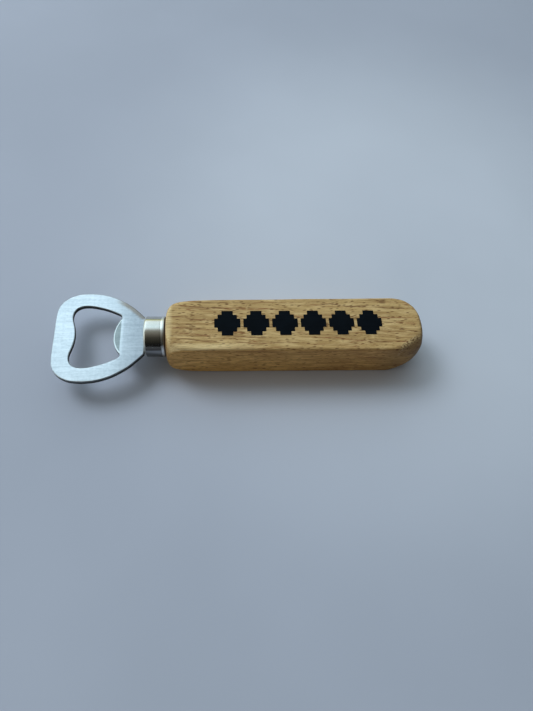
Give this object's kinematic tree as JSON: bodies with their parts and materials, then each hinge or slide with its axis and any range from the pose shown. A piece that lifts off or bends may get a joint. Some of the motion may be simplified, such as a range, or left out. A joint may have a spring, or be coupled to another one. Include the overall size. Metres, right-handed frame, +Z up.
{
  "type": "bottle opener",
  "caption": "Flat bottle opener: a stamped steel head with a rounded opening and pressed tongue, a round metal ferrule and a flat wooden handle with a row of dark marks.",
  "frame": {"origin": "middle of the footprint, at the height of the surface that the underside of the handle rests on", "axes": "+Z up, out of the marked face of the handle; the head points to -X and the butt of the handle to +X; symmetric about Y = 0 but for the hand-finished corners of the butt and the row of marks"},
  "size_m": [0.15, 0.0398, 0.0201],
  "materials": {
    "head_steel": "stainless sheet, fine brushed grain along the handle, tumbled edges",
    "ferrule_metal": "polished nickel plate on a drawn cup",
    "handle_wood": "light open-grained hardwood, sanded, thin matt oil",
    "adhesive": "cured amber epoxy",
    "mark_film": "matt blue-black transfer film"
  },
  "bodies": {
    "root": {"head_plate": "head_steel", "ferrule": "ferrule_metal", "wooden_handle": "handle_wood", "tang_adhesive": "adhesive", "ferrule_adhesive": "adhesive", "film_mark_1": "mark_film", "film_mark_2": "mark_film", "film_mark_3": "mark_film", "film_mark_4": "mark_film", "film_mark_5": "mark_film", "film_mark_6": "mark_film"}
  },
  "joints": []
}
